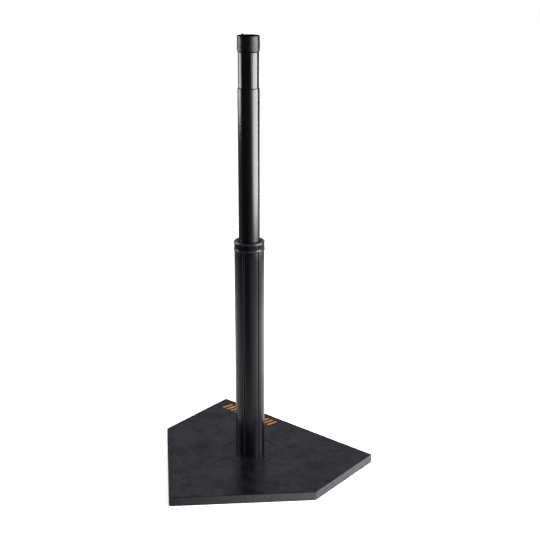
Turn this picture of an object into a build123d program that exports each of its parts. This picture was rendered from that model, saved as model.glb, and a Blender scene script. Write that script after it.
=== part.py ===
"""Two-stage rubber batting tee: a home-plate base, a fluted post, a sliding upper tube and a ball cup.

Millimetres. The origin is on the post's axis at the ground, +Z is up and +Y points at the base's long
straight edge, so the base's point is towards -Y.
"""

import os

from build123d import *

# Fits: the radial gap between pieces that turn or slide on each other, and the gap at end stops.
running_gap = 0.05
end_gap = 0.3

# How far a cutting solid runs past the face it cuts, and how near two measures count as the same.
cut_margin = 1.0
tolerance = 0.01
corner_tolerance = 0.05

# Base plate, a five-sided home plate with a low round boss where the post comes through.
plate_width = 432.0
plate_depth = 413.7
plate_side = 203.3
plate_thick = 19.5
plate_back = 159.6
plate_corner_radius = 3.0
plate_top_round = 1.6
plate_foot_round = 0.8
boss_radius = 62.0
boss_top_radius = 52.0
boss_height = 1.0

# Printed marks on the plate, a row of plain slanted bars beside the long edge.
mark_count = 12
mark_pitch = 12.6
mark_width = 4.8
mark_height = 25.0
mark_lean = 7.0
mark_thick = 0.2
mark_row_middle = (-115.0, 131.0)

# Post, an extruded tube with six narrow grooves along it.
post_radius = 31.2
post_bore = 26.5
groove_count = 6
groove_angle = -12.0
groove_width = 1.5
groove_depth = 2.6
groove_floor_round = 0.5
groove_shoulder = 1.2

# Foot bonded into the post's lower end, whose flange sits in a counterbore under the plate.
foot_recess = 0.5
flange_radius = 43.0
flange_thick = 6.0
flange_chamfer = 0.8
foot_spigot_height = 30.0
foot_spigot_bore = 21.0
foot_spigot_chamfer = 1.2

# Collar on the post's upper end: a rim, a band and a bead, with a spigot down the post's bore.
collar_top = 506.4
collar_height = 20.6
collar_band_radius = 31.4
collar_rim_radius = 32.0
collar_rim_height = 3.0
collar_rim_round = 1.2
collar_rim_foot_round = 0.4
collar_bead_radius = 32.0
collar_bead_height = 5.4
collar_foot_radius = 30.6
collar_groove_radius = 0.9
collar_spigot_bottom = 456.0
collar_spigot_radius = 24.0

# Grip bush pressed into the collar, which the upper tube slides and turns in.
bush_flange_radius = 27.2
bush_flange_thick = 3.0
bush_recess = 0.6
bush_bottom = 458.0
bush_mouth_chamfer = 1.0

# Upper tube, with a foot plug and a guide ring that runs in the post's bore.
tube_radius = 21.8
tube_bore = 16.8
tube_top = 818.2
tube_top_round = 0.7
travel_up = 21.0
guide_height = 18.0
guide_bore = 16.0
guide_chamfer = 1.2
guide_groove_depth = 1.2
guide_groove_height = 5.0
plug_flange_radius = 24.0
plug_flange_thick = 4.0
plug_spigot = 24.0
plug_vent = 9.0
plug_chamfer = 1.0

# Top stem plugged into the upper tube, a flexible hollow neck under the cup.
stem_spigot = 62.0
stem_bore = 10.5
neck_foot_radius = 20.45
neck_head_radius = 20.65
neck_top = 887.5
neck_round = 0.6
stem_peg_radius = 15.6
stem_peg_height = 12.0
spigot_chamfer = 1.5

# Ball cup on the stem, with a coned seat and a thin rim that carries the ball.
cup_top = 918.8
cup_radius = 22.3
cup_edge_radius = 22.0
cup_seat_floor_radius = 16.5
cup_seat_rim_radius = 19.7
cup_floor_thick = 1.4
cup_foot_round = 1.4
cup_rim_round = 0.9

# Heights that follow from the driving dimensions.
flange_top = foot_recess + flange_thick
post_end = collar_top - collar_height
guide_top = collar_spigot_bottom - travel_up - end_gap
guide_bottom = guide_top - guide_height
tube_bottom = guide_top + end_gap
plug_bottom = guide_bottom - end_gap - plug_flange_thick


def turned(*corners):
    """A solid turned about the post's axis from its (radius, height) corners."""
    outline = Polyline(*[(radius, 0, height) for radius, height in corners], close=True)
    return revolve(make_face(outline), Axis.Z)


def rims(solid, radius, height):
    """The circular edges of a turned solid at one radius and height."""
    circles = solid.edges().filter_by(GeomType.CIRCLE)
    at_height = [edge for edge in circles if abs(edge.arc_center.Z - height) < tolerance]
    return [edge for edge in at_height if abs(edge.radius - radius) < tolerance]


def plate_outline():
    """The five-sided outline of the plate, with its upright corners rounded."""
    half = plate_width / 2
    shoulder = plate_back - plate_side
    point = plate_back - plate_depth
    corners = [(-half, plate_back), (half, plate_back), (half, shoulder), (0, point), (-half, shoulder)]
    outline = make_face(Polyline(*corners, close=True))
    return fillet(outline.vertices(), plate_corner_radius)


def base_plate():
    """The moulded plate, with its boss, the hole for the post and the counterbore for the flange."""
    slab = extrude(plate_outline(), plate_thick)
    slab = fillet(slab.faces().sort_by(Axis.Z)[-1].edges(), plate_top_round)
    slab = chamfer(slab.faces().sort_by(Axis.Z)[0].edges(), plate_foot_round)
    boss_top = plate_thick + boss_height
    boss = turned(
        (0, plate_thick / 2),
        (boss_radius, plate_thick / 2),
        (boss_radius, plate_thick),
        (boss_top_radius, boss_top),
        (0, boss_top),
    )
    hole = turned(
        (0, -cut_margin),
        (flange_radius + running_gap, -cut_margin),
        (flange_radius + running_gap, flange_top + running_gap),
        (post_radius + running_gap, flange_top + running_gap),
        (post_radius + running_gap, boss_top + cut_margin),
        (0, boss_top + cut_margin),
    )
    return slab + boss - hole


def plate_print():
    """The printed marks: thin slanted bars in a row, each a solid of its own."""
    middle_x, middle_y = mark_row_middle
    half_width = mark_width / 2
    half_height = mark_height / 2
    bars = []
    for index in range(mark_count):
        x = middle_x + (index - (mark_count - 1) / 2) * mark_pitch
        corners = [
            (x - half_width - mark_lean / 2, middle_y - half_height),
            (x + half_width - mark_lean / 2, middle_y - half_height),
            (x + half_width + mark_lean / 2, middle_y + half_height),
            (x - half_width + mark_lean / 2, middle_y + half_height),
        ]
        outline = make_face(Polyline(*corners, close=True))
        bars.append(Pos(0, 0, plate_thick) * extrude(outline, mark_thick))
    return Compound(children=bars)


def corners_at(section, radius):
    """The corners of a section that lie at one distance from the axis."""
    return [v for v in section.vertices() if abs(Vector(v.X, v.Y).length - radius) < corner_tolerance]


def post_tube():
    """The extruded post, a round tube with six deep narrow grooves whose shoulders are rounded."""
    groove = Rectangle(2 * groove_depth, groove_width)
    grooves = PolarLocations(post_radius, groove_count, groove_angle) * groove
    section = Circle(post_radius) - Circle(post_bore) - grooves
    section = fillet(corners_at(section, post_radius), groove_shoulder)
    section = fillet(corners_at(section, post_radius - groove_depth), groove_floor_round)
    return Pos(0, 0, flange_top) * extrude(section, post_end - flange_top)


def post_foot():
    """The post's foot: a flange under the plate and a hollow spigot bonded up the post's bore."""
    spigot_top = flange_top + foot_spigot_height
    foot = turned(
        (0, foot_recess),
        (flange_radius, foot_recess),
        (flange_radius, flange_top),
        (post_bore, flange_top),
        (post_bore, spigot_top),
        (foot_spigot_bore, spigot_top),
        (foot_spigot_bore, flange_top),
        (0, flange_top),
    )
    foot = chamfer(rims(foot, flange_radius, foot_recess), flange_chamfer)
    return chamfer(rims(foot, post_bore, spigot_top), foot_spigot_chamfer)


def post_collar():
    """The ring on the post's end, its band grooved in line with the post."""
    rim_bottom = collar_top - collar_rim_height
    bead_top = post_end + collar_bead_height
    flange_seat = collar_top - bush_recess - bush_flange_thick
    bead = ThreePointArc(
        (collar_foot_radius, 0, post_end),
        (collar_bead_radius, 0, post_end + collar_bead_height / 2),
        (collar_band_radius, 0, bead_top),
    )
    rest = Polyline(
        (collar_band_radius, 0, bead_top),
        (collar_band_radius, 0, rim_bottom),
        (collar_rim_radius, 0, rim_bottom),
        (collar_rim_radius, 0, collar_top),
        (bush_flange_radius, 0, collar_top),
        (bush_flange_radius, 0, flange_seat),
        (collar_spigot_radius, 0, flange_seat),
        (collar_spigot_radius, 0, collar_spigot_bottom),
        (post_bore, 0, collar_spigot_bottom),
        (post_bore, 0, post_end),
        (collar_foot_radius, 0, post_end),
    )
    ring = revolve(make_face([bead, rest]), Axis.Z)
    ring = fillet(rims(ring, collar_rim_radius, collar_top), collar_rim_round)
    ring = fillet(rims(ring, collar_rim_radius, rim_bottom), collar_rim_foot_round)
    groove = Cylinder(collar_groove_radius, rim_bottom - bead_top)
    grooves = PolarLocations(collar_band_radius, groove_count, groove_angle) * groove
    return ring - [Pos(0, 0, (rim_bottom + bead_top) / 2) * cutter for cutter in grooves]


def grip_bush():
    """The soft bush in the collar, with a flange on top and a chamfered mouth."""
    bore = tube_radius + running_gap
    bush_top = collar_top - bush_recess
    bush = turned(
        (bore, bush_bottom),
        (collar_spigot_radius, bush_bottom),
        (collar_spigot_radius, bush_top - bush_flange_thick),
        (bush_flange_radius, bush_top - bush_flange_thick),
        (bush_flange_radius, bush_top),
        (bore, bush_top),
    )
    return chamfer(rims(bush, bore, bush_top), bush_mouth_chamfer)


def upper_tube():
    """The plain sliding tube."""
    tube = turned((tube_bore, tube_bottom), (tube_radius, tube_bottom), (tube_radius, tube_top), (tube_bore, tube_top))
    return fillet(rims(tube, tube_radius, tube_top), tube_top_round)


def guide_ring():
    """The ring between the tube's foot and the plug's flange, which centres the tube in the post."""
    radius = post_bore - running_gap
    middle = (guide_bottom + guide_top) / 2
    groove_half = guide_groove_height / 2
    ring = turned(
        (guide_bore + running_gap, guide_bottom),
        (radius, guide_bottom),
        (radius, middle - groove_half),
        (radius - guide_groove_depth, middle - groove_half),
        (radius - guide_groove_depth, middle + groove_half),
        (radius, middle + groove_half),
        (radius, guide_top),
        (guide_bore + running_gap, guide_top),
    )
    ring = chamfer(rims(ring, radius, guide_bottom), guide_chamfer)
    return chamfer(rims(ring, radius, guide_top), guide_chamfer)


def foot_plug():
    """The plug pressed into the tube's foot, with the journal and flange that hold the guide ring."""
    plug_flange_top = plug_bottom + plug_flange_thick
    plug_top = tube_bottom + plug_spigot
    plug = turned(
        (plug_vent, plug_bottom),
        (plug_flange_radius, plug_bottom),
        (plug_flange_radius, plug_flange_top),
        (guide_bore, plug_flange_top),
        (guide_bore, tube_bottom),
        (tube_bore, tube_bottom),
        (tube_bore, plug_top),
        (plug_vent, plug_top),
    )
    plug = chamfer(rims(plug, plug_flange_radius, plug_bottom), plug_chamfer)
    return chamfer(rims(plug, tube_bore, plug_top), plug_chamfer)


def top_stem():
    """The hollow stem: a spigot in the upper tube, the bare neck and the peg that the cup sits on."""
    spigot_radius = tube_bore - running_gap
    spigot_bottom = tube_top - stem_spigot
    neck_bottom = tube_top + running_gap
    peg_top = neck_top + stem_peg_height
    stem = turned(
        (stem_bore, spigot_bottom),
        (spigot_radius, spigot_bottom),
        (spigot_radius, neck_bottom),
        (neck_foot_radius, neck_bottom),
        (neck_head_radius, neck_top),
        (stem_peg_radius, neck_top),
        (stem_peg_radius, peg_top),
        (stem_bore, peg_top),
    )
    stem = chamfer(rims(stem, spigot_radius, spigot_bottom), spigot_chamfer)
    return fillet(rims(stem, neck_foot_radius, neck_bottom), neck_round)


def ball_cup():
    """The cup pushed over the stem's peg, slightly barrelled, with an open coned seat."""
    floor_top = neck_top + stem_peg_height + cup_floor_thick
    waist = (neck_top + cup_top) / 2
    side = ThreePointArc((cup_edge_radius, 0, neck_top), (cup_radius, 0, waist), (cup_edge_radius, 0, cup_top))
    inside = Polyline(
        (cup_edge_radius, 0, cup_top),
        (cup_seat_rim_radius, 0, cup_top),
        (cup_seat_floor_radius, 0, floor_top),
        (stem_bore, 0, floor_top),
        (stem_bore, 0, neck_top + stem_peg_height),
        (stem_peg_radius, 0, neck_top + stem_peg_height),
        (stem_peg_radius, 0, neck_top),
        (cup_edge_radius, 0, neck_top),
    )
    cup = revolve(make_face([side, inside]), Axis.Z)
    cup = fillet(rims(cup, cup_edge_radius, neck_top), cup_foot_round)
    cup = fillet(rims(cup, cup_edge_radius, cup_top), cup_rim_round)
    return fillet(rims(cup, cup_seat_rim_radius, cup_top), cup_rim_round)


pieces = {
    "base_plate": base_plate,
    "plate_print": plate_print,
    "post_tube": post_tube,
    "post_foot": post_foot,
    "post_collar": post_collar,
    "grip_bush": grip_bush,
    "upper_tube": upper_tube,
    "guide_ring": guide_ring,
    "foot_plug": foot_plug,
    "top_stem": top_stem,
    "ball_cup": ball_cup,
}

os.makedirs("parts", exist_ok=True)
for name, make in pieces.items():
    export_step(make(), f"parts/{name}.step")
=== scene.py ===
"""Looks of the batting tee: fine meshes and rubber materials round its CAD model. In metres."""

import math

import bpy
from mathutils import Euler, Matrix, Vector, noise


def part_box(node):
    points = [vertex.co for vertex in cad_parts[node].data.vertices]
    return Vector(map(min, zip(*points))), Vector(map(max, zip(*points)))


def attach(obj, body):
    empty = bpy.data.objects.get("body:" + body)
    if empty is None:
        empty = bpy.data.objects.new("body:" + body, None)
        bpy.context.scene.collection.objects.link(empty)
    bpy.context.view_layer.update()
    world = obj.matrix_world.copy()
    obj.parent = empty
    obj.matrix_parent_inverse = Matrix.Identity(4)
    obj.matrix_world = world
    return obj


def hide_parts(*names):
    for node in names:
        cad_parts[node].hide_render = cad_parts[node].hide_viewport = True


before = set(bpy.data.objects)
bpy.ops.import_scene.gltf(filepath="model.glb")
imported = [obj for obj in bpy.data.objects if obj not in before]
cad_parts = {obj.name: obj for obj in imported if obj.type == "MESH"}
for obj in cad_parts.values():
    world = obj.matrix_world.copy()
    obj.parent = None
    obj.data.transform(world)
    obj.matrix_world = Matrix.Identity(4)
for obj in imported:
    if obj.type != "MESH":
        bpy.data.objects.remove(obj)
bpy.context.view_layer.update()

# Camera: its place, and its yaw, pitch and roll in degrees
CAMERA_PLACE = Vector((1.2856, -1.4870, 1.1138))
CAMERA_YAW = 39.60
CAMERA_PITCH = 18.87
CAMERA_ROLL = 0.124
CAMERA_LENS = 66.67
CAMERA_SENSOR = 36.0

# Studio: the room's light on matt surfaces and in mirror images, and the floor's glow in mirror images, as
# (from place, to place, from strength, to strength) towards the camera's right, away from it and outwards
ROOM_FILL = 1.2
ROOM_MIRRORED = 0.04
GLOW_RIGHT = (0.0, 0.6, 0.03, 1.2)
GLOW_BEHIND = (-0.7, 0.5, 0.05, 1.2)
GLOW_FADE = (0.8, 1.6, 1.0, 0.15)
GLOW_HALF = 3.0
GLOW_HEIGHT = 0.0004
FLOOR_HALF = 3.4
PAPER_DARK = (0.86, 0.86, 0.86)
PAPER_LIGHT = (0.88, 0.88, 0.88)
PAPER_ROUGHNESS = 0.9

# Grooves of the post, repeated in the collar's band, and how far from a groove's middle the mesh has points
GROOVE_COUNT = 6
GROOVE_ANGLE = math.radians(-12)
GROOVE_SECTOR = 2 * math.pi / GROOVE_COUNT
GROOVE_DEPTH = 0.0026
GROOVE_FLOOR = 0.0004
GROOVE_HALF = 0.00078
GROOVE_SHOULDER = 0.0019
GROOVE_POINTS = (
    0.0, 0.0004, 0.0007, 0.00078, 0.00082, 0.0009, 0.00105, 0.0013,
    0.0016, 0.002, 0.0024, 0.0028, 0.0045, 0.007, 0.0105,
)
PANEL_ROLL = 0.00012
PANEL_ROLL_WIDTH = 0.006

# Bores and wall steps that the nodes' boxes don't show
POST_BORE = 0.0265
TUBE_BORE = 0.0168
STEM_BORE = 0.0105
STEM_PEG = (0.0156, 0.012)
RUNNING_GAP = 0.00005

# Meshes: longest step along each profile, points round the plain round pieces, and the extra points close
# to a long side's ends that keep its shading flat
PROFILE_STEP = {"post": 0.009, "collar": 0.003, "tube": 0.006, "stem": 0.006, "cup": 0.0022}
ROUND_POINTS = {"tube": 144, "stem": 128, "cup": 160}
FLAT_END = 0.0003
LONG_SIDE = 5 * FLAT_END

# Base plate: outline, edge rounding, the low boss round the post, and its rings of points
FLANGE_TOP = 0.0065
BOSS_HEIGHT = 0.0010
BOSS_RADII = (0.062, 0.052)
BOSS_TOP_END = 0.001
PLATE_SIDE = 0.2033
PLATE_CORNER = 0.003
PLATE_TOP_ROUND = 0.0016
PLATE_FOOT_ROUND = 0.0008
PLATE_WAVE = 0.00018
PLATE_WAVE_SCALE = 14
PLATE_WAVE_SLICE = 3.1
PLATE_EDGE_STEP = 0.006
PLATE_TOP_STEPS = 26
PLATE_STEPS = 6

# Post: rounding of its upper end, how deep its outer wall goes, and the ripple's fine and slow waves as
# (height, radians per metre)
POST_END_ROUND = 0.0004
POST_WALL = 0.001
FINE_RIPPLE = (0.00006, 190)
SLOW_RIPPLE = (0.00005, 71)
RIPPLE_SWAY = 0.8

# Collar, whose box only shows its bead: radii, heights of its edges, where its grooves start, are full, ebb
# and end from the bead's top and the rim's foot, and roundings
COLLAR_SPIGOT = 0.0240
COLLAR_FOOT = 0.0306
COLLAR_BAND = 0.0314
COLLAR_RIM = 0.0320
COLLAR_FOOT_HEIGHT = 0.0012
COLLAR_BEAD_HEIGHT = 0.0054
COLLAR_BEAD_SLOPE = 0.0006
COLLAR_RIM_HEIGHT = 0.0030
COLLAR_RIM_SLOPE = 0.0003
COLLAR_GROOVE_DEPTH = 0.0009
COLLAR_GROOVE_FADE = (-0.0004, 0.0006, -0.0006, 0.0002)
COLLAR_ROUND = {
    "spigot": 0.0006, "foot": 0.0009, "bead": 0.0014, "band_foot": 0.0002,
    "band_top": 0.0003, "rim_foot": 0.0004, "rim": 0.0022, "seat": 0.0003,
}
BUSH_FLANGE_THICK = 0.003
BUSH_RECESS = 0.0006

# Upper tube: its end roundings, and the wavy lip's height, reach and waves as (share, count, phase)
TUBE_ROUND = {"foot": 0.0005, "lip": 0.0009}
LIP_HEIGHT = 0.0004
LIP_REACH = 0.006
LIP_WAVES = ((0.6, 2, 1.1), (0.4, 5, 0))

# Stem: the V-shaped seam at the tube's lip, and roundings
SEAM_DEPTHS = (0.0007, 0.0003)
SEAM_HEIGHT = 0.0009
STEM_ROUND = {"spigot": 0.001, "seam": 0.0005, "neck": 0.0003}

# Cup: foot, edge and seat, roundings, its outer wall's unevenness, which starts outside the seat and is full
# inside the edge, and the nub that its moulding left on the rim
CUP_FOOT = 0.0194
CUP_FOOT_HEIGHT = 0.0019
CUP_EDGE = 0.0220
CUP_SEAT_RIM = 0.0197
CUP_SEAT_FLOOR = 0.0165
CUP_FLOOR_THICK = 0.0014
CUP_ROUND = {"foot": 0.0008, "barrel": 0.04, "rim": 0.0005, "seat": 0.0012, "bore": 0.0004}
CUP_UNEVEN = 0.00018
CUP_UNEVEN_SCALE = 210
CUP_UNEVEN_START = 0.0006
CUP_UNEVEN_FULL = 0.0005
NUB_ANGLE = math.radians(164)
NUB_RISE = 0.0018
NUB_SIDES = (0.0008, 0.0032)
NUB_HEIGHTS = (-0.0012, -0.0001)
NUB_INNER_SIDE = (-0.0003, 0.0007)

# Rubber: the noise values between which its clouds and its gloss's patches change, and the clouds' bumps
RUBBER_IOR = 1.52
CLOUD_RANGE = (0.3, 0.7)
CLOUD_DEPTH = 0.0006
CLOUD_STRENGTH = 0.25
PATCH_RANGE = (0.36, 0.64)

# Plate's dust, its upright sides painted paler as painted light that is brightest at the right end towards
# the key light, and how far a side's normal may rise from level
DUST_SCALE = 234
DUST_RANGE = (0.66, 0.74)
DUST_MOST = 0.5
DUST_COLOUR = (0.0136, 0.0140, 0.0168)
SIDE_PAINTED_LIGHT = ((0.010, 0.010, 0.011), (0.034, 0.034, 0.035))
SIDE_RISE = (0.35, 0.8)

# Painted highlights, a pale colour on moulded edges that stands in for their glints: its colour, where it
# starts, is full, ebbs and ends from a groove's middle, and where it ebbs and ends from an edge of the collar
PAINTED_HIGHLIGHT_COLOUR = (0.015, 0.0155, 0.018)
LIP_HIGHLIGHT_BAND = (0.0013, 0.0016, 0.0021, 0.0027)
EDGE_HIGHLIGHT_BAND = (0.00036, 0.0009)
RIM_HIGHLIGHT_DROP = 0.0010

# Gloss of the plate and the cup, and where the cup's ends: how far inside its edge and below its rim, and
# how gradually
PLATE_GLOSS = (0.075, 0.185)
PLATE_GLOSS_SCALE = 29.4
CUP_GLOSS = (0.16, 0.28)
CUP_GLOSS_SCALE = 112
CUP_GLOSS_INSET = 0.0006
CUP_GLOSS_DROP = 0.0002
CUP_GLOSS_FADE = 0.0006

# Ink of the printed marks, where it is worn, and its finish and grain
INK_DARK = (0.21, 0.080, 0.011)
INK_LIGHT = (0.27, 0.105, 0.016)
INK_WORN = (0.05, 0.04, 0.035)
WORN_RANGE = (0.58, 0.68)
WORN_MOST = 0.75
INK_ROUGHNESS = (0.4, 0.55)
INK_GLOSS = 0.1
INK_GRAIN_DEPTH = 0.0003
INK_GRAIN_STRENGTH = 0.3


# Shapes

def span(node):
    """(outer radius, bottom, top) of a round node on the post's axis."""
    low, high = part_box(node)
    return high.x, low.z, high.z


def smooth_step(low, high, value):
    """0 below low, 1 above high, and an even curve between them."""
    t = min(max((value - low) / (high - low), 0.0), 1.0)
    return t * t * (3 - 2 * t)


def rounded_corners(corners, steps=5):
    """A closed 2D outline from (x, y, corner radius), with each rounded corner as an arc."""
    outline = []
    count = len(corners)
    for i, (x, y, radius) in enumerate(corners):
        here = Vector((x, y))
        if not radius:
            outline.append(here)
            continue
        before = (Vector(corners[i - 1][:2]) - here).normalized()
        after = (Vector(corners[(i + 1) % count][:2]) - here).normalized()
        half = before.angle(after) / 2
        reach = radius / math.tan(half)
        centre = here + (before + after).normalized() * (radius / math.sin(half))
        start = here + before * reach - centre
        end = here + after * reach - centre
        turn = start.angle_signed(end)
        for step in range(steps + 1):
            outline.append(centre + clockwise(start, turn * step / steps))
    return outline


def clockwise(vector, angle):
    """A 2D vector turned clockwise, which is how angle_signed measures angles."""
    return Matrix.Rotation(-angle, 2) @ vector


def divided(outline, longest):
    """The closed outline with extra points along its sides and close to the ends of its long ones."""
    points = []
    for i, here in enumerate(outline):
        after = outline[(i + 1) % len(outline)]
        length = (after - here).length
        pieces = max(1, math.ceil(length / longest))
        shares = {k / pieces for k in range(pieces)}
        if length > LONG_SIDE:
            shares |= {FLAT_END / length, 1 - FLAT_END / length}
        points.extend(here.lerp(after, share) for share in sorted(shares))
    return points


def ring_faces(ring_count, count):
    """Faces that join each ring of points to the next, and the last to the first."""
    faces = []
    for i in range(ring_count):
        this = i * count
        after = (i + 1) % ring_count * count
        for j in range(count):
            k = (j + 1) % count
            faces.append((this + j, this + k, after + k, after + j))
    return faces


def skin(name, rings, body, material, node, sharp=32.0):
    """A closed mesh from rings of points, which rides on a body and stands for a CAD node."""
    points = [point for ring in rings for point in ring]
    mesh = bpy.data.meshes.new(name)
    mesh.from_pydata(points, [], ring_faces(len(rings), len(rings[0])))
    mesh.validate()
    mesh.shade_smooth()
    mesh.set_sharp_from_angle(angle=math.radians(sharp))
    mesh.materials.append(material)
    piece = bpy.data.objects.new(name, mesh)
    bpy.context.scene.collection.objects.link(piece)
    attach(piece, body)
    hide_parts(node)
    return piece


def even_angles(count):
    """Angles of a plain round piece."""
    return [2 * math.pi * i / count for i in range(count)]


def groove_angles(radius):
    """Angles round the post, closest together at the grooves."""
    offsets = {side * distance / radius for distance in GROOVE_POINTS for side in (-1, 1)}
    offsets = sorted(offsets) + [GROOVE_SECTOR / 2]
    return [GROOVE_ANGLE + i * GROOVE_SECTOR + offset for i in range(GROOVE_COUNT) for offset in offsets]


def groove_drop(angle, radius, depth):
    """How far the surface lies below the full radius at an angle, because of the nearest groove."""
    half = GROOVE_SECTOR / 2
    away = abs((angle - GROOVE_ANGLE + half) % GROOVE_SECTOR - half) * radius
    roll = PANEL_ROLL * (1 - smooth_step(0, PANEL_ROLL_WIDTH, away))
    if away < GROOVE_HALF:
        wall = smooth_step(GROOVE_FLOOR, GROOVE_HALF, away)
        return depth - wall * (depth - GROOVE_SHOULDER * depth / GROOVE_DEPTH) + roll
    from_edge = max(GROOVE_HALF + GROOVE_SHOULDER - away, 0.0)
    rounded = GROOVE_SHOULDER - math.sqrt(max(GROOVE_SHOULDER ** 2 - from_edge ** 2, 0.0))
    return rounded * depth / GROOVE_DEPTH + roll


def turned(profile, angles, shape=None):
    """Rings of points round the axis, one for each (radius, height) of the profile."""
    rings = []
    for radius, height in profile:
        ring = []
        for angle in angles:
            r, z = shape(angle, radius, height) if shape else (radius, height)
            ring.append((r * math.cos(angle), r * math.sin(angle), z))
        rings.append(ring)
    return rings


# Materials: sockets

def new_material(name):
    """A material, its node tree and its shader."""
    material = bpy.data.materials.new(name)
    material.use_nodes = True
    tree = material.node_tree
    return material, tree, tree.nodes["Principled BSDF"]


def coordinates(tree, kind="Object"):
    """The socket of a piece's own coordinates, or of its normals."""
    return tree.nodes.new("ShaderNodeTexCoord").outputs[kind]


def axes(tree, vector):
    """The X, Y and Z sockets of a vector socket."""
    parts = tree.nodes.new("ShaderNodeSeparateXYZ")
    tree.links.new(vector, parts.inputs["Vector"])
    return parts.outputs


def vector_length(tree, vector):
    """The value socket of a vector socket's length."""
    node = tree.nodes.new("ShaderNodeVectorMath")
    node.operation = "LENGTH"
    tree.links.new(vector, node.inputs[0])
    return node.outputs["Value"]


def noise_value(tree, scale, detail, rough=0.55, stretch=None):
    """The value socket of a noise texture in a piece's own space."""
    texture = tree.nodes.new("ShaderNodeTexNoise")
    texture.inputs["Scale"].default_value = scale
    texture.inputs["Detail"].default_value = detail
    texture.inputs["Roughness"].default_value = rough
    place = coordinates(tree)
    if stretch:
        mapping = tree.nodes.new("ShaderNodeMapping")
        mapping.inputs["Scale"].default_value = stretch
        tree.links.new(place, mapping.inputs["Vector"])
        place = mapping.outputs["Vector"]
    tree.links.new(place, texture.inputs["Vector"])
    return texture.outputs["Fac"]


def ranged(tree, value, low, high, to_low, to_high):
    """A value socket mapped from one range to another."""
    node = tree.nodes.new("ShaderNodeMapRange")
    node.inputs["From Min"].default_value = low
    node.inputs["From Max"].default_value = high
    node.inputs["To Min"].default_value = to_low
    node.inputs["To Max"].default_value = to_high
    tree.links.new(value, node.inputs["Value"])
    return node.outputs["Result"]


def worked(tree, operation, *values):
    """The value socket of one operation on value sockets or numbers."""
    node = tree.nodes.new("ShaderNodeMath")
    node.operation = operation
    for socket, value in zip(node.inputs, values):
        if isinstance(value, (int, float)):
            socket.default_value = value
        else:
            tree.links.new(value, socket)
    return node.outputs["Value"]


def mixed(tree, factor, first, second):
    """A colour between two colours or colour sockets, by a value socket."""
    node = tree.nodes.new("ShaderNodeMix")
    node.data_type = "RGBA"
    tree.links.new(factor, node.inputs["Factor"])
    for socket, colour in ((node.inputs["A"], first), (node.inputs["B"], second)):
        if isinstance(colour, tuple):
            socket.default_value = (*colour, 1)
        else:
            tree.links.new(colour, socket)
    return node.outputs["Result"]


def bumped(tree, layers):
    """A normal socket from layers of (height socket, depth, strength)."""
    normal = None
    for height, depth, strength in layers:
        node = tree.nodes.new("ShaderNodeBump")
        node.inputs["Distance"].default_value = depth
        node.inputs["Strength"].default_value = strength
        tree.links.new(height, node.inputs["Height"])
        if normal:
            tree.links.new(normal, node.inputs["Normal"])
        normal = node.outputs["Normal"]
    return normal


# Materials: masks and coats

def upright(tree):
    """1 on upright faces and 0 on level ones."""
    rise = worked(tree, "ABSOLUTE", axes(tree, coordinates(tree, "Normal"))["Z"])
    return ranged(tree, rise, *SIDE_RISE, 1, 0)


def groove_lips(tree):
    """1 along both lips of each of the post's grooves, where highlights are painted, and 0 elsewhere."""
    radius = span("post_tube")[0]
    place = axes(tree, coordinates(tree))
    angle = worked(tree, "ARCTAN2", place["Y"], place["X"])
    from_groove = worked(tree, "SUBTRACT", angle, GROOVE_ANGLE)
    away = worked(tree, "PINGPONG", from_groove, GROOVE_SECTOR / 2)
    start, full, ebb, end = (distance / radius for distance in LIP_HIGHLIGHT_BAND)
    rising = ranged(tree, away, start, full, 0, 1)
    falling = ranged(tree, away, ebb, end, 1, 0)
    return worked(tree, "MULTIPLY", rising, falling)


def collar_edges(tree):
    """1 on the collar's moulded edges, which are the bead's upper one and the rim's, where highlight lines
    are painted, and 0 elsewhere.
    """
    bead_edge = span("post_tube")[2] + COLLAR_BEAD_HEIGHT - COLLAR_BEAD_SLOPE
    rim_edge = span("post_collar")[2] - RIM_HIGHLIGHT_DROP
    height = axes(tree, coordinates(tree))["Z"]
    lines = []
    for edge in (bead_edge, rim_edge):
        away = worked(tree, "ABSOLUTE", worked(tree, "SUBTRACT", height, edge))
        lines.append(ranged(tree, away, *EDGE_HIGHLIGHT_BAND, 1, 0))
    return worked(tree, "MAXIMUM", *lines)


def cup_wall(tree):
    """1 on the cup's outer wall, and 0 on its rim and inside it."""
    place = coordinates(tree)
    level = tree.nodes.new("ShaderNodeVectorMath")
    level.operation = "MULTIPLY"
    level.inputs[1].default_value = (1, 1, 0)
    tree.links.new(place, level.inputs[0])
    away = vector_length(tree, level.outputs["Vector"])
    radius = CUP_EDGE - CUP_GLOSS_INSET
    top = span("ball_cup")[2] - CUP_GLOSS_DROP
    below_rim = ranged(tree, axes(tree, place)["Z"], top - CUP_GLOSS_FADE, top, 1, 0)
    outside = ranged(tree, away, radius - CUP_GLOSS_FADE, radius, 0, 1)
    return worked(tree, "MULTIPLY", below_rim, outside)


def dust(tree, colour):
    """The plate's colour with specks of dust."""
    specks = ranged(tree, noise_value(tree, DUST_SCALE, detail=2, rough=0.7), *DUST_RANGE, 0, DUST_MOST)
    return mixed(tree, specks, colour, DUST_COLOUR)


def painted_side_light(tree, colour):
    """The plate's colour with painted light on its upright sides: paler than its top, and palest at the right
    end, towards the key light.
    """
    right_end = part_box("base_plate")[1].x
    to_right = ranged(tree, axes(tree, coordinates(tree))["X"], 0, right_end, 0, 1)
    return mixed(tree, upright(tree), colour, mixed(tree, to_right, *SIDE_PAINTED_LIGHT))


def lip_painted_highlight(tree, colour):
    """The post's colour with painted highlights, pale stripes along its grooves' lips."""
    return mixed(tree, groove_lips(tree), colour, PAINTED_HIGHLIGHT_COLOUR)


def edge_painted_highlight(tree, colour):
    """The collar's colour with painted highlights, pale lines on its bead's upper edge and its rim."""
    return mixed(tree, collar_edges(tree), colour, PAINTED_HIGHLIGHT_COLOUR)


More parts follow.
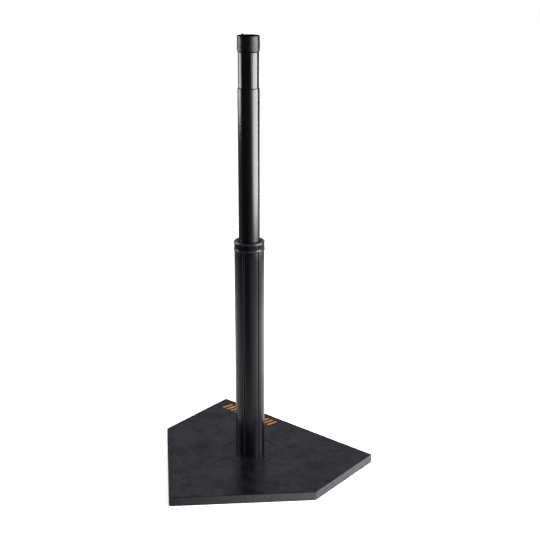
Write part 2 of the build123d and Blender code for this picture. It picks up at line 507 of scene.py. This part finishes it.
def gloss_patches(tree, scale, limits):
    """A specular level that varies in patches between two limits."""
    return ranged(tree, noise_value(tree, scale, detail=7, rough=0.7), *PATCH_RANGE, *limits)


def plate_gloss(tree):
    """Duller and glossier patches of the plate."""
    return gloss_patches(tree, PLATE_GLOSS_SCALE, PLATE_GLOSS)


def cup_gloss(tree):
    """Duller and glossier patches of the cup's outer wall, and no gloss inside it."""
    patches = gloss_patches(tree, CUP_GLOSS_SCALE, CUP_GLOSS)
    return worked(tree, "MULTIPLY", patches, cup_wall(tree))


# Materials: finishes

def rubber(name, dark, light, clouds_scale, roughness, grain, stretch=None, coats=(), gloss=0.5):
    """Rubber or plastic with a clouded colour and roughness, and a fine grain of (scale, depth, strength)."""
    material, tree, shader = new_material(name)
    clouds = noise_value(tree, clouds_scale, detail=5, rough=0.6, stretch=stretch)
    colour = mixed(tree, ranged(tree, clouds, *CLOUD_RANGE, 0, 1), dark, light)
    for coat in coats:
        colour = coat(tree, colour)
    tree.links.new(colour, shader.inputs["Base Color"])
    tree.links.new(ranged(tree, clouds, *CLOUD_RANGE, *roughness), shader.inputs["Roughness"])
    grain_scale, grain_depth, grain_strength = grain
    fine = noise_value(tree, grain_scale, detail=3, rough=0.6)
    layers = [(clouds, CLOUD_DEPTH, CLOUD_STRENGTH), (fine, grain_depth, grain_strength)]
    tree.links.new(bumped(tree, layers), shader.inputs["Normal"])
    shader.inputs["IOR"].default_value = RUBBER_IOR
    if callable(gloss):
        tree.links.new(gloss(tree), shader.inputs["Specular IOR Level"])
    else:
        shader.inputs["Specular IOR Level"].default_value = gloss
    return material


def print_ink():
    """Orange ink on rubber, thin enough in places for the black to show through."""
    material, tree, shader = new_material("print_ink")
    worn = ranged(tree, noise_value(tree, scale=420, detail=4, rough=0.7), *WORN_RANGE, 0, WORN_MOST)
    tone = ranged(tree, noise_value(tree, scale=60, detail=2), *CLOUD_RANGE, 0, 1)
    orange = mixed(tree, tone, INK_DARK, INK_LIGHT)
    tree.links.new(mixed(tree, worn, orange, INK_WORN), shader.inputs["Base Color"])
    tree.links.new(ranged(tree, tone, 0, 1, *INK_ROUGHNESS), shader.inputs["Roughness"])
    shader.inputs["Specular IOR Level"].default_value = INK_GLOSS
    grain = noise_value(tree, scale=900, detail=3, rough=0.6)
    bumps = bumped(tree, [(grain, INK_GRAIN_DEPTH, INK_GRAIN_STRENGTH)])
    tree.links.new(bumps, shader.inputs["Normal"])
    return material


# Painted light: the plate's upright sides are painted paler, palest at the right end.
plate_rubber = rubber(
    "plate_rubber", dark=(0.0012, 0.0013, 0.0017), light=(0.0034, 0.0035, 0.0042), clouds_scale=42,
    roughness=(0.20, 0.33), grain=(520, 0.0004, 0.4), coats=(dust, painted_side_light), gloss=plate_gloss,
)
# Painted highlights: pale stripes along the post's groove lips.
post_rubber = rubber(
    "post_rubber", dark=(0.001, 0.001, 0.0022), light=(0.0018, 0.0018, 0.0034), clouds_scale=30,
    roughness=(0.17, 0.25), grain=(700, 0.0001, 0.15), stretch=(1, 1, 0.12), coats=(lip_painted_highlight,), gloss=0.42,
)
# Painted highlights: pale lines on the collar's bead edge and rim.
collar_rubber = rubber(
    "collar_rubber", dark=(0.001, 0.001, 0.0022), light=(0.002, 0.002, 0.0036), clouds_scale=60,
    roughness=(0.10, 0.16), grain=(900, 0.0001, 0.12), coats=(edge_painted_highlight,),
)
bush_rubber = rubber(
    "bush_rubber", dark=(0.003, 0.003, 0.003), light=(0.006, 0.006, 0.006), clouds_scale=70,
    roughness=(0.5, 0.65), grain=(1100, 0.0002, 0.4),
)
guide_plastic = rubber(
    "guide_plastic", dark=(0.035, 0.035, 0.038), light=(0.055, 0.055, 0.06), clouds_scale=90,
    roughness=(0.35, 0.5), grain=(1500, 0.0001, 0.15),
)
tube_rubber = rubber(
    "tube_rubber", dark=(0.0008, 0.0008, 0.0014), light=(0.0018, 0.0018, 0.0028), clouds_scale=24,
    roughness=(0.18, 0.24), grain=(800, 0.0001, 0.12), stretch=(1, 1, 0.15),
)
stem_rubber = rubber(
    "stem_rubber", dark=(0.0008, 0.0008, 0.0008), light=(0.0018, 0.0018, 0.0018), clouds_scale=40,
    roughness=(0.13, 0.18), grain=(900, 0.0001, 0.08),
)
cup_rubber = rubber(
    "cup_rubber", dark=(0.001, 0.001, 0.001), light=(0.002, 0.002, 0.002), clouds_scale=160,
    roughness=(0.22, 0.32), grain=(700, 0.0003, 0.5), gloss=cup_gloss,
)


# Pieces

def plate_outline():
    """The home-plate outline with rounded corners."""
    low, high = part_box("base_plate")
    half = high.x
    shoulder = high.y - PLATE_SIDE
    point_half = math.atan(half / (shoulder - low.y))
    point = low.y - PLATE_CORNER * (1 / math.sin(point_half) - 1)
    corners = [(half, high.y), (-half, high.y), (-half, shoulder), (0, point), (half, shoulder)]
    outline = rounded_corners([(x, y, PLATE_CORNER) for x, y in corners], 4)
    return divided(outline, PLATE_EDGE_STEP)


def plate_inset(inset):
    """The points of the outline, each moved in by inset."""
    outline = plate_outline()
    count = len(outline)
    moved = []
    for i in range(count):
        along = (outline[(i + 1) % count] - outline[i - 1]).normalized()
        moved.append(outline[i] + Vector((-along.y, along.x)) * inset)
    return moved


def plate_circle(radius, height):
    """A ring of points on a circle, in the directions of the outline's points."""
    return [(*(p.normalized() * radius), height) for p in plate_inset(0)]


def plate_ring(share, radius, inset, height):
    """A ring part of the way from a circle to the outline moved in by inset."""
    spots = [(p.normalized() * radius).lerp(p, share) for p in plate_inset(inset)]
    return [(spot.x, spot.y, height) for spot in spots]


def waved(ring):
    """A ring lifted and lowered by the moulded surface's slow waves."""
    lifted = []
    for x, y, height in ring:
        place = Vector((x * PLATE_WAVE_SCALE, y * PLATE_WAVE_SCALE, PLATE_WAVE_SLICE))
        lifted.append((x, y, height + PLATE_WAVE * noise.noise(place)))
    return lifted


def plate_top(hole, top, boss_top):
    """Rings from the hole, over the boss and the top, to where the edge's rounding starts."""
    outer, inner = BOSS_RADII
    rings = [plate_circle(radius, boss_top) for radius in (hole, (hole + inner) / 2, inner - BOSS_TOP_END)]
    for step in range(1, PLATE_STEPS + 1):
        share = step / PLATE_STEPS
        lift = BOSS_HEIGHT * (1 - smooth_step(0, 1, share))
        rings.append(plate_circle(inner + (outer - inner) * share, top + lift))
    for step in range(1, PLATE_TOP_STEPS + 1):
        rings.append(waved(plate_ring(step / PLATE_TOP_STEPS, outer, PLATE_TOP_ROUND, top)))
    return rings


def plate_side(top):
    """Rings over the rounded upper edge, down the side and in round its foot."""
    rings = []
    for step in range(1, PLATE_STEPS + 1):
        turn = math.pi / 2 * step / PLATE_STEPS
        inset = PLATE_TOP_ROUND * (1 - math.sin(turn))
        drop = PLATE_TOP_ROUND * (1 - math.cos(turn))
        rings.append(plate_ring(1, 0, inset, top - drop))
    for height in (top - PLATE_TOP_ROUND - FLAT_END, top / 2, PLATE_FOOT_ROUND + FLAT_END, PLATE_FOOT_ROUND):
        rings.append(plate_ring(1, 0, 0, height))
    rings.append(plate_ring(1, 0, PLATE_FOOT_ROUND, 0))
    return rings


def plate_underside(hole, flange):
    """Rings from the edge in to the foot's counterbore, and up it to the hole."""
    steps = range(1, PLATE_STEPS + 1)
    rings = [plate_ring(1 - step / PLATE_STEPS, flange, PLATE_FOOT_ROUND, 0) for step in steps]
    return rings + [plate_circle(flange, FLANGE_TOP), plate_circle(hole, FLANGE_TOP)]


def base_plate():
    """The plate as rings about the post's axis, from the hole out to its edge and back underneath."""
    boss_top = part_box("base_plate")[1].z
    top = boss_top - BOSS_HEIGHT
    hole = span("post_tube")[0] + RUNNING_GAP
    flange = span("post_foot")[0] + RUNNING_GAP
    rings = plate_top(hole, top, boss_top) + plate_side(top) + plate_underside(hole, flange)
    return skin("plate", rings, "base", plate_rubber, "base_plate")


def ripple(angle, height):
    """The faint ripple that extruding leaves on the post."""
    fine, fine_rate = FINE_RIPPLE
    slow, slow_rate = SLOW_RIPPLE
    sway = RIPPLE_SWAY * math.sin(angle * 2)
    return fine * math.sin(height * fine_rate + sway) + slow * math.sin(height * slow_rate + angle)


def post():
    """The post, grooved from end to end."""
    radius, bottom, top = span("post_tube")
    corners = [
        (POST_BORE, bottom, 0),
        (radius, bottom, 0),
        (radius, top, POST_END_ROUND),
        (POST_BORE, top, 0),
    ]
    profile = divided(rounded_corners(corners, 3), PROFILE_STEP["post"])

    def shape(angle, r, z):
        """The outer wall's grooves and ripple."""
        if r < radius - POST_WALL:
            return r, z
        return r - groove_drop(angle, radius, GROOVE_DEPTH) + ripple(angle, z), z

    rings = turned(profile, groove_angles(radius), shape)
    return skin("post", rings, "post", post_rubber, "post_tube", sharp=50)


def collar_corners():
    """(radius, height, rounding) round the collar's section: spigot, bead, band, rim and bush seat."""
    radius, bottom, top = span("post_collar")
    bush_flange = span("grip_bush")[0]
    flange_seat = top - BUSH_RECESS - BUSH_FLANGE_THICK
    post_end = span("post_tube")[2]
    bead_top = post_end + COLLAR_BEAD_HEIGHT
    rim_bottom = top - COLLAR_RIM_HEIGHT
    return [
        (COLLAR_SPIGOT, bottom, 0),
        (POST_BORE, bottom, COLLAR_ROUND["spigot"]),
        (POST_BORE, post_end, 0),
        (COLLAR_FOOT, post_end, 0),
        (radius, post_end + COLLAR_FOOT_HEIGHT, COLLAR_ROUND["foot"]),
        (radius, bead_top - COLLAR_BEAD_SLOPE, COLLAR_ROUND["bead"]),
        (COLLAR_BAND, bead_top, COLLAR_ROUND["band_foot"]),
        (COLLAR_BAND, rim_bottom, COLLAR_ROUND["band_top"]),
        (COLLAR_RIM, rim_bottom + COLLAR_RIM_SLOPE, COLLAR_ROUND["rim_foot"]),
        (COLLAR_RIM, top, COLLAR_ROUND["rim"]),
        (bush_flange, top, COLLAR_ROUND["seat"]),
        (bush_flange, flange_seat, 0),
        (COLLAR_SPIGOT, flange_seat, 0),
    ]


def collar():
    """The collar, with the post's grooves faintly in its band."""
    bead_top = span("post_tube")[2] + COLLAR_BEAD_HEIGHT
    rim_bottom = span("post_collar")[2] - COLLAR_RIM_HEIGHT
    start, full, ebb, end = COLLAR_GROOVE_FADE
    profile = divided(rounded_corners(collar_corners(), 5), PROFILE_STEP["collar"])

    def shape(angle, r, z):
        """The band's grooves, which fade out towards the bead and the rim."""
        if r < COLLAR_BAND - RUNNING_GAP:
            return r, z
        in_band = smooth_step(bead_top + start, bead_top + full, z)
        in_band *= 1 - smooth_step(rim_bottom + ebb, rim_bottom + end, z)
        return r - in_band * groove_drop(angle, COLLAR_BAND, COLLAR_GROOVE_DEPTH), z

    rings = turned(profile, groove_angles(span("post_collar")[0]), shape)
    return skin("collar", rings, "post", collar_rubber, "post_collar", sharp=40)


def upper():
    """The sliding tube, whose top edge is a slightly wavy moulded lip."""
    radius, bottom, top = span("upper_tube")
    corners = [
        (TUBE_BORE, bottom, 0),
        (radius, bottom, TUBE_ROUND["foot"]),
        (radius, top, TUBE_ROUND["lip"]),
        (TUBE_BORE, top, 0),
    ]
    profile = divided(rounded_corners(corners, 4), PROFILE_STEP["tube"])

    def shape(angle, r, z):
        """The lip's wave."""
        near = smooth_step(top - LIP_REACH, top, z) * smooth_step(TUBE_BORE, radius, r)
        wave = sum(share * math.sin(count * angle + phase) for share, count, phase in LIP_WAVES)
        return r, z + LIP_HEIGHT * near * wave

    rings = turned(profile, even_angles(ROUND_POINTS["tube"]), shape)
    return skin("tube", rings, "upper", tube_rubber, "upper_tube")


def stem():
    """The stem with its bare glossy neck."""
    radius, bottom, top = span("top_stem")
    tube_top = span("upper_tube")[2]
    neck_top = span("ball_cup")[1]
    spigot = TUBE_BORE - RUNNING_GAP
    peg = STEM_PEG[0]
    foot_depth, seam_depth = SEAM_DEPTHS
    corners = [
        (STEM_BORE, bottom, 0),
        (spigot, bottom, STEM_ROUND["spigot"]),
        (spigot, tube_top, 0),
        (radius - foot_depth, tube_top, 0),
        (radius - seam_depth, tube_top + SEAM_HEIGHT, STEM_ROUND["seam"]),
        (radius, neck_top, STEM_ROUND["neck"]),
        (peg, neck_top, 0),
        (peg, top, 0),
        (STEM_BORE, top, 0),
    ]
    profile = divided(rounded_corners(corners, 3), PROFILE_STEP["stem"])
    rings = turned(profile, even_angles(ROUND_POINTS["stem"]))
    return skin("stem", rings, "head", stem_rubber, "top_stem")


def cup_corners():
    """(radius, height, rounding) round the cup's section: barrelled wall, rim, coned seat and peg socket."""
    radius, bottom, top = span("ball_cup")
    peg, peg_height = STEM_PEG
    peg_top = bottom + peg_height
    floor_top = peg_top + CUP_FLOOR_THICK
    return [
        (CUP_FOOT, bottom, 0),
        (CUP_EDGE, bottom + CUP_FOOT_HEIGHT, CUP_ROUND["foot"]),
        (radius, (bottom + top) / 2, CUP_ROUND["barrel"]),
        (CUP_EDGE, top, CUP_ROUND["rim"]),
        (CUP_SEAT_RIM, top, CUP_ROUND["rim"]),
        (CUP_SEAT_FLOOR, floor_top, CUP_ROUND["seat"]),
        (STEM_BORE, floor_top, CUP_ROUND["bore"]),
        (STEM_BORE, peg_top, 0),
        (peg, peg_top, 0),
        (peg, bottom, 0),
    ]


def between(limits, start, value):
    """How far a value is from one limit to the other, both measured from start."""
    return smooth_step(start + limits[0], start + limits[1], value)


def cup():
    """The ball cup, uneven outside and with a nub on its rim."""
    radius, _, top = span("ball_cup")
    profile = divided(rounded_corners(cup_corners(), 6), PROFILE_STEP["cup"])

    def shape(angle, r, z):
        """The rim's nub and the outer face's unevenness."""
        away = abs((angle - NUB_ANGLE + math.pi) % (2 * math.pi) - math.pi) * radius
        rise = NUB_RISE * (1 - between(NUB_SIDES, 0, away))
        rise *= between(NUB_HEIGHTS, top, z) * between(NUB_INNER_SIDE, CUP_SEAT_RIM, r)
        place = Vector((r * math.cos(angle), r * math.sin(angle), z))
        outside = smooth_step(CUP_SEAT_RIM + CUP_UNEVEN_START, CUP_EDGE - CUP_UNEVEN_FULL, r)
        return r + CUP_UNEVEN * noise.noise(place * CUP_UNEVEN_SCALE) * outside, z + rise

    rings = turned(profile, even_angles(ROUND_POINTS["cup"]), shape)
    return skin("cup", rings, "head", cup_rubber, "ball_cup")


# Studio

def around(turn, distance, height):
    """A place round the post, turn degrees to the right of the camera's side."""
    towards_camera = math.atan2(CAMERA_PLACE.y, CAMERA_PLACE.x)
    angle = towards_camera + math.radians(turn)
    return Vector((distance * math.cos(angle), distance * math.sin(angle), height))


def softbox(name, turn, distance, height, size, radiance, tint=(1, 1, 1), lean=0):
    """A rectangular soft light that stands upright, or leans sideways, and faces the post."""
    data = bpy.data.lights.new(name, "AREA")
    data.shape = "RECTANGLE"
    data.size, data.size_y = size
    data.color = tint
    data.energy = radiance * math.pi * size[0] * size[1]
    lamp = bpy.data.objects.new(name, data)
    lamp.visible_camera = False
    lamp.location = around(turn, distance, height)
    facing = Vector((-lamp.location.x, -lamp.location.y, 0))
    leaning = Matrix.Rotation(math.radians(lean), 3, "Z")
    lamp.rotation_euler = (facing.to_track_quat("-Z", "Y").to_matrix() @ leaning).to_euler()
    bpy.context.scene.collection.objects.link(lamp)


def flat_square(name, half, height):
    """A square stage piece lying flat."""
    mesh = bpy.data.meshes.new(name)
    corners = [(-half, -half, height), (half, -half, height), (half, half, height), (-half, half, height)]
    mesh.from_pydata(corners, [], [(0, 1, 2, 3)])
    piece = bpy.data.objects.new(name, mesh)
    bpy.context.scene.collection.objects.link(piece)
    return piece


def floor():
    """A pale paper floor. Its mirror image in the rubber comes from the floor glow instead."""
    piece = flat_square("floor", FLOOR_HALF, 0)
    piece.visible_glossy = False
    material, tree, shader = new_material("floor_paper")
    tone = ranged(tree, noise_value(tree, scale=3, detail=2), *CLOUD_RANGE, 0, 1)
    tree.links.new(mixed(tree, tone, PAPER_DARK, PAPER_LIGHT), shader.inputs["Base Color"])
    shader.inputs["Roughness"].default_value = PAPER_ROUGHNESS
    shader.inputs["Specular IOR Level"].default_value = 0
    piece.data.materials.append(material)


def glow_material():
    """Light that is weak in front of the tee, brighter to the right and behind, and fades outwards."""
    material = bpy.data.materials.new("floor_glow")
    material.use_nodes = True
    material.cycles.emission_sampling = "NONE"
    tree = material.node_tree
    tree.nodes.clear()
    place = coordinates(tree)
    parts = axes(tree, place)
    right = ranged(tree, parts["X"], *GLOW_RIGHT)
    behind = ranged(tree, parts["Y"], *GLOW_BEHIND)
    fade = ranged(tree, vector_length(tree, place), *GLOW_FADE)
    emission = tree.nodes.new("ShaderNodeEmission")
    output = tree.nodes.new("ShaderNodeOutputMaterial")
    strength = worked(tree, "MULTIPLY", worked(tree, "ADD", right, behind), fade)
    tree.links.new(strength, emission.inputs["Strength"])
    tree.links.new(emission.outputs["Emission"], output.inputs["Surface"])
    return material


def floor_glow():
    """What glossy rubber mirrors of the floor, turned to the camera's direction."""
    piece = flat_square("floor_glow", GLOW_HALF, GLOW_HEIGHT)
    piece.rotation_euler.z = math.radians(CAMERA_YAW)
    for seen in ("visible_camera", "visible_diffuse", "visible_shadow", "visible_transmission"):
        setattr(piece, seen, False)
    piece.data.materials.append(glow_material())


def studio():
    """A white background, white fill on matt surfaces and a dim room in mirror images."""
    world = bpy.data.worlds.new("studio")
    bpy.context.scene.world = world
    world.use_nodes = True
    world.cycles.sampling_method = "NONE"
    tree = world.node_tree
    background = tree.nodes["Background"]
    background.inputs["Color"].default_value = (1, 1, 1, 1)
    path = tree.nodes.new("ShaderNodeLightPath")
    unseen = tree.nodes.new("ShaderNodeMix")
    unseen.inputs["A"].default_value = ROOM_FILL
    unseen.inputs["B"].default_value = ROOM_MIRRORED
    tree.links.new(path.outputs["Is Glossy Ray"], unseen.inputs["Factor"])
    seen = tree.nodes.new("ShaderNodeMix")
    seen.inputs["B"].default_value = 1.0
    tree.links.new(unseen.outputs["Result"], seen.inputs["A"])
    tree.links.new(path.outputs["Is Camera Ray"], seen.inputs["Factor"])
    tree.links.new(seen.outputs["Result"], background.inputs["Strength"])


def camera():
    """The photograph's viewpoint."""
    data = bpy.data.cameras.new("camera")
    data.lens = CAMERA_LENS
    data.sensor_width = CAMERA_SENSOR
    data.clip_end = 100
    view = bpy.data.objects.new("camera", data)
    turn = Euler((math.radians(90 - CAMERA_PITCH), 0, math.radians(CAMERA_YAW))).to_matrix()
    roll = Matrix.Rotation(math.radians(CAMERA_ROLL), 3, "Z")
    view.matrix_world = Matrix.Translation(CAMERA_PLACE) @ (turn @ roll).to_4x4()
    bpy.context.scene.collection.objects.link(view)
    bpy.context.scene.camera = view


camera()
studio()
floor()
floor_glow()
softbox("key", turn=78, distance=1.5, height=1.0, size=(1.66, 1.8), radiance=13)
softbox("wing", turn=33, distance=1.5, height=1.0, size=(0.53, 1.8), radiance=3, lean=24)
softbox("side", turn=-108, distance=1.2, height=1.02, size=(0.87, 0.96), radiance=6.2)
softbox("back", turn=180, distance=5.0, height=3.3, size=(5.0, 2.4), radiance=1.1, tint=(0.87, 0.86, 1.0))
bpy.context.scene.view_settings.view_transform = "Standard"

base_plate()
post()
collar()
upper()
stem()
cup()

finishes = {
    "plate_print": print_ink(),
    "post_foot": post_rubber,
    "grip_bush": bush_rubber,
    "guide_ring": guide_plastic,
    "foot_plug": guide_plastic,
}
for node, material in finishes.items():
    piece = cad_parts[node]
    piece.data.materials.clear()
    piece.data.materials.append(material)
